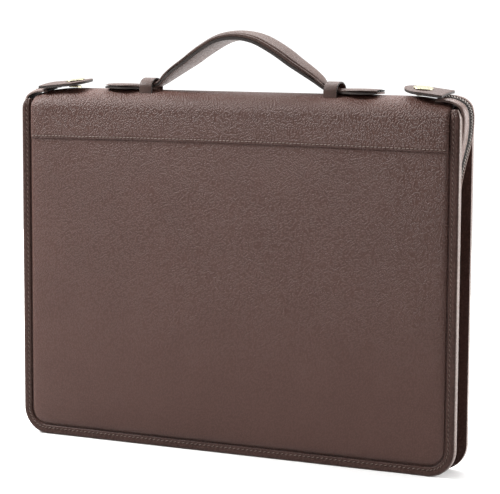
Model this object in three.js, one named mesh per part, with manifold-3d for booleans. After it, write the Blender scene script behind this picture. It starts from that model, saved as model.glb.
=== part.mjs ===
// A zip-round leather document case for A4 papers, standing on its lower edge.
// Millimetres. X runs along the width, Y through the depth with the front at -Y, Z is up.
// The origin lies under the middle of the case, on the surface that it stands on.

import * as THREE from "three";
import { mergeVertices } from "three/addons/utils/BufferGeometryUtils.js";
import Module from "manifold-3d";

const wasm = await Module();
wasm.setup();

// Whole case
const caseWidth = 370; // side to side over the stitched bindings
const caseHeight = 280; // table to the top of the spine
const caseDepth = 32; // front to back over the faces of the bindings
const seatGap = 0.3; // left between two pieces that touch

// Covers
const bindingWidth = 7.2;
const bindingThickness = 4.8;
const bindingCornerRadius = 21;
const bindingEdgeRoll = 0.9; // how far a binding's long edges round back
const bindingTopTurn = 30; // degrees that a binding's top ends follow the spine
const bindingTopTaper = 2.5; // how far the outer edge pulls in at those ends
const creviceWidth = 1.2; // open line between a binding and its panel
const creviceDepth = 2.8; // down to the binding's hem, which lies under that line
const panelProud = 0.6; // how far a panel's rim stands out past the binding
const panelCrown = 1.9; // how far the padding swells the middle beyond that
const panelRimRoll = 2.2; // how far a panel's rolled rim turns back
const panelRimWidth = 3.2; // width of that rolled rim
const seamDrop = 40.2; // from the spine's top down to the horizontal seam, at the sides
const seamArch = 1.5; // how much higher the seam is in the middle

// Spine
const wrapStep = 0.9; // the wrap's leather over the panel at the seam
const wrapWall = 3; // thickness over the top
const wrapShoulder = 16.5; // height of the rounded part
const wrapSag = 7; // how far the spine's ends have sunk
const wrapSagReach = 47; // length of each end that has sunk

// Zip band
const bandRecess = 6.5; // from the covers' sides and bottom in to the band
const bandSwing = 9.5; // how far the band swings out again at the top corners
const bandRise = 76; // height over which it does so
const bandTopLength = 14; // stretch along the spine that ends under a tab
const bandCornerRadius = 16;
const bandBulge = 2.4; // how far the band's middle stands out past its edges
const bandLean = 1.6; // how much farther out its back edge is than its front edge, halved
const gussetWall = 1.5;
const zipWidth = 9.2; // as far as it shows between the gussets
const zipWall = 1.7;
const teethWidth = 4.6;
const teethProud = 0.35;
const sliderDrop = 48; // from the spine's top down to the zip's slider
const sliderLength = 12;
const sliderWidth = 9;
const sliderThickness = 2.8;
const pullLength = 24;
const pullWidth = 5.5;
const pullThickness = 1.4;

// Tabs and press-studs
const studInset = 40.5; // from the case's side in to a press-stud
const tabLength = 26; // from the stud out to the tab's square end
const tabWidth = 28;
const tabThickness = 2.4;
const tabCrown = 0.6; // how far the tab's long edges bend down
const tabLean = 1.4; // how far the back edge stands over the middle
const studCapRadius = 7.5;
const studCapThickness = 0.9;
const studCapDome = 0.4;
const studBaseRadius = 5;

// Carry handle
const handleShift = 2.2; // the strap and its loops sit this much right of the middle
const keeperSpacing = 156;
const keeperLength = 11;
const keeperWidth = 19.5;
const keeperThickness = 1.3;
const keeperRise = 9.2; // top of a loop over the spine
const handleReach = 115; // from the handle's middle to a paddle's tip
const handleWidth = 31; // widest, in the hand
const handleRise = 40; // from the paddles up to the top of the arch
const handleSkew = 2.3; // how far the left leg leans to the right of the right leg's mirror image
const handleUpperEdge = 2.2; // upper layer at its edges
const handleDome = 1.9; // how much thicker it is in the middle
const handleLowerThickness = 2.5;

// The zip band's swing round a top corner: out is a share of bandSwing, down a share of
// bandRise, bulge a share of bandBulge, lean a share of bandLean.
const bandCorner = [
  { out: 0.19, down: 0.026, bulge: 0.55, lean: 0.85 },
  { out: 0.76, down: 0.078, bulge: 0.75, lean: 0.5 },
  { out: 1.01, down: 0.155, bulge: 0.95, lean: 0.2 },
  { out: 1.06, down: 0.25, bulge: 1.0, lean: 0.1 },
  { out: 0.95, down: 0.41, bulge: 1.0, lean: 0.05 },
  { out: 0.61, down: 0.59, bulge: 1.0, lean: 0.0 },
  { out: 0.27, down: 0.78, bulge: 1.0, lean: 0.0 },
  { out: 0.03, down: 1.0, bulge: 1.0, lean: 0.0 },
];

// Half of the handle, from its middle to a paddle's tip: along is a share of handleReach,
// rise a share of handleRise, width a share of handleWidth, full a share of its thickness and
// skew a share of handleSkew.
const handleHalf = [
  { along: 0.0, rise: 1.0, width: 1.0, full: 1.0, skew: 0.0 },
  { along: 0.085, rise: 0.978, width: 1.0, full: 1.0, skew: 0.2 },
  { along: 0.157, rise: 0.922, width: 0.99, full: 1.0, skew: 0.4 },
  { along: 0.235, rise: 0.815, width: 0.97, full: 1.0, skew: 0.7 },
  { along: 0.32, rise: 0.672, width: 0.93, full: 1.0, skew: 0.9 },
  { along: 0.4, rise: 0.516, width: 0.88, full: 0.97, skew: 1.0 },
  { along: 0.487, rise: 0.358, width: 0.8, full: 0.9, skew: 1.0 },
  { along: 0.56, rise: 0.212, width: 0.64, full: 0.78, skew: 1.0 },
  { along: 0.6, rise: 0.106, width: 0.44, full: 0.64, skew: 0.7 },
  { along: 0.635, rise: 0.043, width: 0.39, full: 0.58, skew: 0.3 },
  { along: 0.69, rise: 0.012, width: 0.4, full: 0.58, skew: 0.0 },
  { along: 0.735, rise: 0.0, width: 0.45, full: 0.58, skew: 0.0 },
  { along: 0.78, rise: 0.0, width: 0.62, full: 0.6, skew: 0.0 },
  { along: 0.83, rise: 0.0, width: 0.76, full: 0.62, skew: 0.0 },
  { along: 0.9, rise: 0.0, width: 0.75, full: 0.62, skew: 0.0 },
  { along: 0.97, rise: 0.0, width: 0.62, full: 0.58, skew: 0.0 },
  { along: 1.0, rise: 0.0, width: 0.5, full: 0.52, skew: 0.0 },
];

// The two tabs: the side that each is on, inset as a share of studInset, reach as a share of
// tabLength, and the degrees that it rises towards the middle of the case.
const tabs = [
  { name: "left", side: -1, inset: 1, reach: 1, tilt: 5.2 },
  { name: "right", side: 1, inset: 0.852, reach: 0.75, tilt: 6.5 },
];

const halfWidth = caseWidth / 2;
const halfDepth = caseDepth / 2;
const innerFace = halfDepth - bindingThickness; // inner faces of the covers, from the middle
const shoulderBase = caseHeight - wrapShoulder; // where the spine starts to round over
const seamHeight = caseHeight - seamDrop;
const sliderHeight = caseHeight - sliderDrop;

const leather = { color: 0x5d4741, roughness: 0.62, metalness: 0 };
const darkLeather = { color: 0x4b3833, roughness: 0.66, metalness: 0 };
const zipMetal = { color: 0x2a2422, roughness: 0.45, metalness: 0.4 };
const brass = { color: 0xcdbf9a, roughness: 0.35, metalness: 0.9 };

const documentCase = new THREE.Group();

function addPiece(name, geometry, finish) {
  const piece = new THREE.Mesh(geometry, new THREE.MeshStandardMaterial(finish));
  piece.name = name;
  documentCase.add(piece);
  return piece;
}

// Triangles that fill the flat end that a ring of points goes round.
function capTriangles(ring) {
  const normal = new THREE.Vector3();
  ring.forEach((point, i) => {
    normal.add(point.clone().cross(ring[(i + 1) % ring.length]));
  });
  const size = normal.toArray().map(Math.abs);
  const axis = size.indexOf(Math.max(...size));
  const flat = ring.map((point) => {
    const [u, v] = point.toArray().filter((_, i) => i !== axis);
    return new THREE.Vector2(u, v);
  });
  const turned = THREE.ShapeUtils.area(flat) < 0;
  const order = turned ? flat.map((_, i) => flat.length - 1 - i) : flat.map((_, i) => i);
  const triangles = THREE.ShapeUtils.triangulateShape(order.map((i) => flat[i]), []);
  return triangles.map((triangle) => {
    const corners = triangle.map((i) => order[i]);
    return turned ? corners.reverse() : corners;
  });
}

// A closed body through rings of points that all go round the same way.
function loft(rings) {
  const count = rings[0].length;
  const points = rings.flat();
  const index = [];
  for (let r = 0; r < rings.length - 1; r += 1) {
    for (let k = 0; k < count; k += 1) {
      const next = (k + 1) % count;
      const here = r * count;
      const there = here + count;
      index.push(here + k, here + next, there + next);
      index.push(here + k, there + next, there + k);
    }
  }
  const last = (rings.length - 1) * count;
  capTriangles(rings[0]).forEach(([a, b, c]) => index.push(c, b, a));
  capTriangles(rings[rings.length - 1]).forEach(([a, b, c]) => index.push(last + a, last + b, last + c));
  let volume = 0;
  for (let i = 0; i < index.length; i += 3) {
    const [a, b, c] = [0, 1, 2].map((k) => points[index[i + k]]);
    volume += a.dot(b.clone().cross(c));
  }
  if (volume < 0) {
    index.reverse();
  }
  const geometry = new THREE.BufferGeometry();
  geometry.setAttribute("position", new THREE.Float32BufferAttribute(points.flatMap((p) => p.toArray()), 3));
  geometry.setIndex(index);
  geometry.computeVertexNormals();
  return geometry;
}

function toManifold(geometry) {
  const bare = geometry.clone();
  bare.deleteAttribute("normal");
  bare.deleteAttribute("uv");
  const merged = mergeVertices(bare);
  const vertProperties = new Float32Array(merged.attributes.position.array);
  const triVerts = new Uint32Array(merged.index.array);
  return new wasm.Manifold(new wasm.Mesh({ numProp: 3, vertProperties, triVerts }));
}

function fromManifold(solid) {
  const mesh = solid.getMesh();
  const geometry = new THREE.BufferGeometry();
  geometry.setAttribute("position", new THREE.BufferAttribute(new Float32Array(mesh.vertProperties), 3));
  geometry.setIndex(new THREE.BufferAttribute(new Uint32Array(mesh.triVerts), 1));
  geometry.computeVertexNormals();
  return geometry;
}

// Numbers from 0 to 1 in equal steps.
function steps(count) {
  return Array.from({ length: count + 1 }, (_, i) => i / count);
}

// Height of the seam, which arches a little between the sides.
function seamAt(x) {
  return seamHeight + seamArch * (1 - (x / halfWidth) ** 2);
}

// Height of the spine's top, which sinks towards both ends.
function spineTopAt(x) {
  const along = Math.max(0, Math.abs(x) - (halfWidth - wrapSagReach)) / wrapSagReach;
  return caseHeight - wrapSag * along ** 2;
}

// How far the padding swells a cover's face at a point.
function swell(x, z) {
  const across = Math.min(1, Math.abs(x) / halfWidth);
  const up = Math.min(1, Math.abs(2 * z - shoulderBase) / shoulderBase);
  return panelCrown * (1 - across ** 4) * (1 - up ** 4);
}

// Padded panels

const panelHalf = halfWidth - bindingWidth - creviceWidth;
const panelBottom = bindingWidth + creviceWidth;
const panelCornerRadius = bindingCornerRadius - bindingWidth - creviceWidth;

// The panel's lower edge, with its rounded corners.
function panelEdgeAt(x) {
  const past = Math.max(0, Math.abs(x) - (panelHalf - panelCornerRadius));
  return panelBottom + panelCornerRadius - Math.sqrt(Math.max(0, panelCornerRadius ** 2 - past ** 2));
}

// How much the rolled rim turns back, at a distance in from the panel's outline.
function rimRoll(inset) {
  const share = Math.min(1, Math.max(0, inset / panelRimWidth));
  return panelRimRoll * (1 - Math.sqrt(1 - (1 - share) ** 2));
}

function panelRing(x) {
  const bottom = panelEdgeAt(x);
  const top = seamAt(x) - seatGap;
  const sideInset = panelHalf - Math.abs(x);
  const rim = [0, 0.25, 1].map((share) => bottom + share * panelRimWidth);
  const rest = [0.12, 0.3, 0.5, 0.7, 0.88, 1].map((share) => bottom + panelRimWidth
    + share * (top - bottom - panelRimWidth));
  const heights = [...rim, ...rest];
  const outer = heights.map((z) => {
    const inset = Math.min(sideInset, z - bottom);
    return new THREE.Vector3(x, -(halfDepth + panelProud + swell(x, z) - rimRoll(inset)), z);
  });
  return [...outer, new THREE.Vector3(x, -innerFace, top), new THREE.Vector3(x, -innerFace, bottom)];
}

function panelStations() {
  const corner = panelHalf - panelCornerRadius;
  const arc = [15, 33, 50, 66, 80, 90].map((angle) => corner
    + panelCornerRadius * Math.sin(THREE.MathUtils.degToRad(angle)));
  const half = [0.25, 0.5, 0.75, 0.9, 1].map((share) => share * corner);
  const right = [...half, ...arc];
  return [...right.map((x) => -x).reverse(), 0, ...right];
}

const frontPanel = loft(panelStations().map(panelRing));
addPiece("front_panel", frontPanel, leather);
const backPanel = addPiece("back_panel", frontPanel.clone(), leather);
backPanel.rotation.z = Math.PI;

// Spine leather, wrapped over the top

function wrapRing(x) {
  const seam = seamAt(x);
  const top = spineTopAt(x);
  const face = (z) => halfDepth + panelProud + wrapStep + swell(x, z);
  const shoulder = face(shoulderBase);
  const legs = steps(3).map((share) => seam + share * (shoulderBase - seam));
  const arc = steps(12).map((share) => share * Math.PI);
  const legFront = legs.slice(0, -1).map((z) => new THREE.Vector3(x, -face(z), z));
  const over = arc.map((angle) => new THREE.Vector3(x, -shoulder * Math.cos(angle),
    shoulderBase + (top - shoulderBase) * Math.sin(angle)));
  const legBack = legs.slice(0, -1).reverse().map((z) => new THREE.Vector3(x, face(z), z));
  const under = arc.slice().reverse().map((angle) => new THREE.Vector3(x, -innerFace * Math.cos(angle),
    shoulderBase + (top - wrapWall - shoulderBase) * Math.sin(angle)));
  const footBack = new THREE.Vector3(x, innerFace, seam);
  const footFront = new THREE.Vector3(x, -innerFace, seam);
  return [...legFront, ...over, ...legBack, footBack, ...under, footFront];
}

const wrapStations = [-1, -0.96, -0.9, -0.83, -0.76, -0.4, 0, 0.4, 0.76, 0.83, 0.9, 0.96, 1];
addPiece("top_wrap", loft(wrapStations.map((share) => wrapRing(share * panelHalf))), leather);

// Stitched bindings round the covers

// Stations along a binding's outer edge: the edge's place, the way in across the binding, the
// share of its width that is left and the angle that it has turned back over the spine.
function bindingStations() {
  const r = bindingCornerRadius;
  const right = steps(4).slice(1).reverse().map((share) => ({
    x: halfWidth - bindingTopTaper * share ** 2,
    z: shoulderBase,
    inX: -1,
    inZ: 0,
    width: 1 - (bindingTopTaper / bindingWidth) * share ** 2,
    turn: share * bindingTopTurn,
  }));
  const side = [shoulderBase, seamHeight, (shoulderBase + r) / 2].map((z) => ({
    x: halfWidth, z, inX: -1, inZ: 0, width: 1, turn: 0,
  }));
  const corner = steps(7).map((share) => {
    const angle = share * Math.PI / 2;
    return {
      x: halfWidth - r + r * Math.cos(angle),
      z: r - r * Math.sin(angle),
      inX: -Math.cos(angle),
      inZ: Math.sin(angle),
      width: 1,
      turn: 0,
    };
  });
  const half = [...right, ...side, ...corner];
  const mirrored = half.map((s) => ({ ...s, x: -s.x, inX: -s.inX })).reverse();
  return [...half, ...mirrored];
}

// The binding's section: across from its outer edge, back from its face. Its hem closes the
// crevice and runs on to the panel.
const hemEdge = bindingWidth + creviceWidth - seatGap;
const bindingSection = [
  { across: 0, back: bindingEdgeRoll },
  { across: bindingEdgeRoll, back: bindingEdgeRoll / 5 },
  { across: bindingWidth / 2, back: 0 },
  { across: bindingWidth - bindingEdgeRoll, back: bindingEdgeRoll / 5 },
  { across: bindingWidth, back: bindingEdgeRoll },
  { across: bindingWidth, back: creviceDepth },
  { across: hemEdge, back: creviceDepth },
  { across: hemEdge, back: bindingThickness },
  { across: 0, back: bindingThickness },
];

function bindingRing(station) {
  const turn = THREE.MathUtils.degToRad(station.turn);
  return bindingSection.map(({ across, back }) => {
    const depth = halfDepth - back;
    const x = station.x + station.inX * across * station.width;
    const z = station.z + station.inZ * across * station.width + depth * Math.sin(turn);
    return new THREE.Vector3(x, -Math.max(innerFace, depth * Math.cos(turn)), z);
  });
}

const frontBinding = loft(bindingStations().map(bindingRing));
addPiece("front_binding", frontBinding, darkLeather);
const backBinding = addPiece("back_binding", frontBinding.clone(), darkLeather);
backBinding.rotation.z = Math.PI;

// Zip band: two gussets with the zip between them

const bandSide = halfWidth - bandRecess;
const bandEnd = halfWidth - bindingWidth - bandTopLength;
const bandTop = spineTopAt(bandEnd) + 2 * seatGap + zipWall; // the ends lie on the spine

// A smooth line through the rows of a table, sampled at each row and once between them.
function lineThrough(points) {
  const spans = points.length - 1;
  const line = new THREE.CatmullRomCurve3(points, false, "centripetal");
  return steps(2 * spans).map((t) => ({ at: line.getPoint(t), along: line.getTangent(t) }));
}

// A value of the tables' rows, taken halfway between neighbours too.
function valuesThrough(rows, column) {
  return steps(2 * (rows.length - 1)).map((_, i) => (
    (rows[Math.floor(i / 2)][column] + rows[Math.ceil(i / 2)][column]) / 2));
}

// The band's middle line, from under the right tab down, along the bottom and up to the left tab.
function bandRows() {
  const lowest = bandRecess - teethProud;
  const flat = { bulge: 1, lean: 0 };
  const underTab = { bulge: 0.4, lean: 1 };
  const top = [
    { x: bandEnd, z: bandTop, ...underTab },
    { x: bandEnd + bandTopLength * 0.6, z: bandTop, ...underTab },
  ];
  const swing = bandCorner.map(({ out, down, bulge, lean }) => ({
    x: bandSide + out * bandSwing, z: bandTop - down * bandRise, bulge, lean,
  }));
  const bend = steps(4).map((share) => ({
    x: bandSide - bandCornerRadius * (1 - Math.cos(share * Math.PI / 2)),
    z: lowest + bandCornerRadius * (1 - Math.sin(share * Math.PI / 2)),
    ...flat,
  }));
  const run = { x: bandSide, z: (bandTop - bandRise + bandCornerRadius) / 2, ...flat };
  const half = [...top, ...swing, run, ...bend];
  return [...half, ...half.map((row) => ({ ...row, x: -row.x })).reverse()];
}

// Stations on the band, with the direction that points away from the case.
function bandStations() {
  const rows = bandRows();
  const bulge = valuesThrough(rows, "bulge");
  const lean = valuesThrough(rows, "lean");
  return lineThrough(rows.map((row) => new THREE.Vector3(row.x, 0, row.z))).map(({ at, along }, i) => ({
    at, away: new THREE.Vector3(-along.z, 0, along.x).normalize(), bulge: bulge[i], lean: lean[i],
  }));
}

// A strip of the band from one depth to another, with its outer side at a height over the line.
function bandRing(station, depths, wall, raise) {
  const place = (y, height) => {
    const across = y / innerFace;
    const rise = station.lean * bandLean * across - station.bulge * bandBulge * across ** 2;
    return station.at.clone().addScaledVector(station.away, height + rise).setY(y);
  };
  const outer = depths.map((y, i) => place(y, raise[i]));
  const inner = depths.map((y) => place(y, -wall)).reverse();
  return [...outer, ...inner];
}

const zipHalf = zipWidth / 2;
const gussetDepths = [0, 0.35, 0.7, 1].map((share) => {
  const near = zipHalf + seatGap;
  return near + share * (innerFace - seatGap - near);
});
const band = bandStations();
[["front_gusset", -1], ["back_gusset", 1]].forEach(([name, side]) => {
  const depths = gussetDepths.map((y) => side * y);
  addPiece(name, loft(band.map((s) => bandRing(s, depths, gussetWall, [0, 0, 0, 0]))), leather);
});

const chainDepths = [-zipHalf, -teethWidth / 2, teethWidth / 2, zipHalf];
const chainRaise = [0, teethProud, teethProud, 0];
addPiece("zip_chain", loft(band.map((s) => bandRing(s, chainDepths, zipWall, chainRaise))), zipMetal);

// Zip slider with its pull hanging down, on the left side

function slab(outline, thickness) {
  const shape = new THREE.Shape(outline.map(([u, v]) => new THREE.Vector2(u, v)));
  const geometry = new THREE.ExtrudeGeometry(shape, { depth: thickness, bevelEnabled: false });
  return geometry.rotateX(Math.PI / 2).translate(0, thickness / 2, 0);
}

function sliderGeometry() {
  const onLeft = band.filter((s) => s.at.x < -bandSide + bandRecess);
  const nearest = onLeft.reduce((best, s) => (
    Math.abs(s.at.z - sliderHeight) < Math.abs(best.at.z - sliderHeight) ? s : best));
  const seat = nearest.at.clone().addScaledVector(nearest.away, teethProud + 2 * seatGap);
  const lean = Math.atan2(nearest.away.z, -nearest.away.x);
  const half = sliderLength / 2;
  const top = -sliderThickness;
  const body = slab([[0, -half], [0, half], [top / 2, half], [top, half / 2], [top, -half / 2],
    [top / 2, -half]], sliderWidth);
  body.rotateY(lean).translate(seat.x, 0, seat.z);
  const pull = slab([[0, 0], [0, -pullLength], [-pullThickness, -pullLength], [-pullThickness, 0]],
    pullWidth);
  pull.translate(seat.x - sliderThickness + pullThickness / 2, 0, seat.z + half / 2);
  return fromManifold(toManifold(body).add(toManifold(pull)));
}

addPiece("zip_slider", sliderGeometry(), brass);

// Tabs over the zip's ends, with their press-studs

const tabEndTop = bandTop + teethProud + seatGap + tabThickness; // the square ends lie on the zip

// Height of a tab's top over its middle line, at a distance in from its square end.
function tabTopAt(tab, along) {
  return tabEndTop + Math.tan(THREE.MathUtils.degToRad(tab.tilt)) * along;
}

function studAt(tab) {
  return halfWidth - tab.inset * studInset;
}

function tabRing(tab, along, half) {
  const x = tab.side * (studAt(tab) + tab.reach * tabLength - along);
  const shares = [-1, -0.5, 0, 0.5, 1];
  const top = shares.map((share) => {
    const across = share * half * 2 / tabWidth;
    const lift = tabLean * across - tabCrown * across ** 2;
    return new THREE.Vector3(x, share * half, tabTopAt(tab, along) + lift);
  });
  const bottom = top.map((point) => point.clone().setZ(point.z - tabThickness));
  return [...top, ...bottom.reverse()];
}

function tabGeometry(tab) {
  const radius = tabWidth / 2;
  const length = tab.reach * tabLength;
  const straight = steps(2).map((share) => tabRing(tab, share * length, radius));
  const round = [0.22, 0.44, 0.64, 0.8, 0.91].map((share) => {
    const turn = share * Math.PI / 2;
    return tabRing(tab, length + radius * Math.sin(turn), radius * Math.cos(turn));
  });
  return loft([...straight, ...round]);
}

function discGeometry(radius, height, dome) {
  const profile = [[0, 0], [radius, 0], [radius, height * 0.6], [radius * 0.85, height],
    [radius * 0.45, height + dome * 0.7], [0, height + dome]];
  return new THREE.LatheGeometry(profile.map(([u, v]) => new THREE.Vector2(u, v)), 24).rotateX(Math.PI / 2);
}

tabs.forEach((tab) => {
  addPiece(`tab_${tab.name}`, tabGeometry(tab), leather);

  const length = tab.reach * tabLength;
  const studX = tab.side * studAt(tab);
  const capGeometry = discGeometry(studCapRadius, studCapThickness, studCapDome);
  const cap = addPiece(`stud_cap_${tab.name}`, capGeometry, brass);
  cap.position.set(studX, 0, tabTopAt(tab, length) + seatGap);
  cap.rotation.set(Math.atan(2 * tabLean / tabWidth), tab.side * THREE.MathUtils.degToRad(tab.tilt), 0);

  const foot = spineTopAt(studAt(tab) - studBaseRadius) + seatGap;
  const baseShare = 2 * studBaseRadius / tabWidth;
  const roof = tabTopAt(tab, length - studBaseRadius) - tabThickness
    - tabLean * baseShare - tabCrown * baseShare ** 2 - seatGap;
  const base = addPiece(`stud_base_${tab.name}`, discGeometry(studBaseRadius, roof - foot, 0), brass);
  base.position.set(studX, 0, foot);
});

// Carry handle, in two layers

const paddleSeat = caseHeight + seatGap; // underside of the paddles
const paddleFull = Math.max(...handleHalf.filter((row) => row.rise === 0).map((row) => row.full));
const handleFoot = paddleSeat + handleLowerThickness * paddleFull + seatGap / 2; // between the layers

function handleStations() {
  const half = handleHalf.map((row) => ({
    x: row.along * handleReach,
    z: handleFoot + row.rise * handleRise,
    width: row.width * handleWidth,
    full: row.full,
    skew: row.skew,
  }));
  const left = half.slice(1).reverse().map((row) => ({ ...row, x: row.skew * handleSkew - row.x }));
  const rows = [...left, ...half];
  const width = valuesThrough(rows, "width");
  const full = valuesThrough(rows, "full");
  const points = rows.map((row) => new THREE.Vector3(row.x + handleShift, 0, row.z));
  return lineThrough(points).map(({ at, along }, i) => ({
    at, up: new THREE.Vector3(-along.z, 0, along.x).normalize(), width: width[i], full: full[i],
  }));
}

function strapRing(station, section) {
  return section.map(([across, height]) => station.at.clone()
    .addScaledVector(station.up, height)
    .setY(across));
}

function upperSection(station) {
  const half = station.width / 2;
  const low = seatGap / 2;
  const edge = low + handleUpperEdge * station.full;
  const dome = handleDome * station.full ** 2;
  return [[-half, low], [-half, edge * 0.75], [-half * 0.93, edge], [-half * 0.5, edge + dome * 0.8],
    [0, edge + dome], [half * 0.5, edge + dome * 0.8], [half * 0.93, edge], [half, edge * 0.75], [half, low]];
}

function lowerSection(station) {
  const half = station.width / 2;
  const high = -seatGap / 2;
  const deep = high - handleLowerThickness * station.full;
  return [[-half, high], [half, high], [half, deep * 0.8], [half * 0.94, deep], [-half * 0.94, deep],
    [-half, deep * 0.8]];
}

const strap = handleStations();
addPiece("handle_upper", loft(strap.map((s) => strapRing(s, upperSection(s)))), leather);
addPiece("handle_lower", loft(strap.map((s) => strapRing(s, lowerSection(s)))), leather);

// Loops that the handle's necks slide through

// Height of the spine's surface at a depth, in the stretch that hasn't sunk.
function spineSurfaceAt(y) {
  const shoulder = halfDepth + panelProud + wrapStep;
  return shoulderBase + wrapShoulder * Math.sqrt(1 - (y / shoulder) ** 2);
}

function keeperGeometry() {
  const outer = keeperWidth / 2;
  const inner = outer - keeperThickness;
  const keeperTop = caseHeight + keeperRise;
  const spring = keeperTop - outer * 0.75;
  const arch = (radius, rise) => steps(10).map((share) => {
    const angle = share * Math.PI;
    return [-radius * Math.cos(angle), spring + rise * Math.sin(angle)];
  });
  const outline = [
    [-outer, spineSurfaceAt(outer) + seatGap],
    ...arch(outer, keeperTop - spring),
    [outer, spineSurfaceAt(outer) + seatGap],
    [inner, spineSurfaceAt(inner) + seatGap],
    ...arch(inner, keeperTop - keeperThickness - spring).reverse(),
    [-inner, spineSurfaceAt(inner) + seatGap],
  ];
  const shape = new THREE.Shape(outline.map(([y, z]) => new THREE.Vector2(y, z)));
  const geometry = new THREE.ExtrudeGeometry(shape, { depth: keeperLength, bevelEnabled: false });
  geometry.translate(0, 0, -keeperLength / 2);
  return geometry.rotateX(Math.PI / 2).rotateZ(Math.PI / 2);
}

[["left", -1], ["right", 1]].forEach(([name, side]) => {
  const keeper = addPiece(`keeper_${name}`, keeperGeometry(), leather);
  keeper.position.x = handleShift + side * keeperSpacing / 2;
});

export default documentCase;
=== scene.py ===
"""A zip-round leather document case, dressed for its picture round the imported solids."""

import math

import bmesh
import bpy
from mathutils import Matrix, Vector


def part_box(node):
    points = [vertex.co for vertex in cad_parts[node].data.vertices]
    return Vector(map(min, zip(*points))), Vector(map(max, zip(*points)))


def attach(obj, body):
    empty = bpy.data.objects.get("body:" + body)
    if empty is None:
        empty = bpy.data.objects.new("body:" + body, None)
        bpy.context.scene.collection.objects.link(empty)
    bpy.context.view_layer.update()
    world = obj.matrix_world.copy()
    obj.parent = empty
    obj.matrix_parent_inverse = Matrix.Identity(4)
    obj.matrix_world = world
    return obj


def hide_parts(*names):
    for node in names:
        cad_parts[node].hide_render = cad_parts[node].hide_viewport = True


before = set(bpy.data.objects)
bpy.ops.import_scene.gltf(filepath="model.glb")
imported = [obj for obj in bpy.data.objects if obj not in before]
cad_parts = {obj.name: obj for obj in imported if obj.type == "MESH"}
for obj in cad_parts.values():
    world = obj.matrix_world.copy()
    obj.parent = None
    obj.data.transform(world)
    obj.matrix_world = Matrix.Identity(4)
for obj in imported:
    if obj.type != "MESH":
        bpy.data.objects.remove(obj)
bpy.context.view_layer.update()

# Camera. The case was photographed from the right of its front cover and a little above the
# handle, through a long lens, so its right side and the tops of the tabs show.
MM = 0.001
photo_width = 500
focal_length_in_pixels = 1927.1
camera_place = Vector((645.6, -1330.8, 337.9)) * MM
camera_yaw = math.radians(25.512)
camera_pitch = math.radians(6.855)
camera_roll = math.radians(0.298)

camera_data = bpy.data.cameras.new("photo_camera")
camera_data.sensor_width = 36
camera_data.lens = focal_length_in_pixels * camera_data.sensor_width / photo_width
camera_data.clip_end = 60
camera = bpy.data.objects.new("photo_camera", camera_data)
camera.matrix_world = (
    Matrix.Translation(camera_place)
    @ Matrix.Rotation(camera_yaw, 4, "Z")
    @ Matrix.Rotation(math.pi / 2 - camera_pitch, 4, "X")
    @ Matrix.Rotation(camera_roll, 4, "Z")
)
bpy.context.scene.collection.objects.link(camera)
bpy.context.scene.camera = camera

# Studio. The case stands on a matt white table in front of a white background, which lights its
# sides and top. The room in front of it is darker, and soft lights hang at the upper left, over
# the spine and, as a tall strip, at the right.
floor_radius = 1.6
background_strength = 1.4
room_strength = 0.24
under_strength = 0.45
softboxes = [
    # name, place, width and height in metres, watts
    ("upper_left_softbox", (-1.3, -0.35, 1.25), (0.45, 0.45), 44),
    ("top_softbox", (-0.3, 0.75, 1.7), (1.4, 0.9), 24),
    ("right_softbox", (1.5, 0.8, 0.45), (0.45, 1.2), 38),
]


def linear(hex_colour):
    """An sRGB colour such as 5d4741, as the linear values that a shader's socket takes."""
    channels = [int(hex_colour[i : i + 2], 16) / 255 for i in (0, 2, 4)]
    return [*(c / 12.92 if c <= 0.04045 else ((c + 0.055) / 1.055) ** 2.4 for c in channels), 1]


def add_node(tree, kind, options={}, sockets={}):
    """Adds a node with its options set, and each socket fed by another node or given a value."""
    made = tree.nodes.new(kind)
    for option, value in options.items():
        setattr(made, option, value)
    for socket, value in sockets.items():
        if isinstance(value, bpy.types.NodeSocket):
            tree.links.new(value, made.inputs[socket])
        else:
            made.inputs[socket].default_value = value
    return made


def new_material(name):
    """An empty material, with its node tree and the node that ends it."""
    material = bpy.data.materials.new(name)
    material.use_nodes = True
    tree = material.node_tree
    tree.nodes.clear()
    return material, tree, tree.nodes.new("ShaderNodeOutputMaterial")


# Matt white laminate, evenly painted: no gloss, so that it shows only soft shade.
white_laminate, tree, output = new_material("white_matt_laminate")
place = add_node(tree, "ShaderNodeTexCoord").outputs["Object"]
grit = add_node(tree, "ShaderNodeTexNoise", {}, {"Vector": place, "Scale": 1 / (4 * MM), "Detail": 2.0})
tone = add_node(tree, "ShaderNodeMapRange", {}, {
    "Value": grit.outputs["Fac"],
    "To Min": 0.85,
    "To Max": 0.95,
})
paint = add_node(tree, "ShaderNodeBsdfPrincipled", {}, {
    "Base Color": linear("fbfbfb"),
    "Roughness": tone.outputs["Result"],
    "Specular IOR Level": 0.1,
})
tree.links.new(paint.outputs["BSDF"], output.inputs["Surface"])

table = bmesh.new()
bmesh.ops.create_circle(table, cap_ends=True, radius=floor_radius, segments=64)
table_mesh = bpy.data.meshes.new("floor")
table.to_mesh(table_mesh)
table_mesh.materials.append(white_laminate)
floor = bpy.data.objects.new("floor", table_mesh)
floor.visible_diffuse = False
bpy.context.scene.collection.objects.link(floor)

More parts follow.
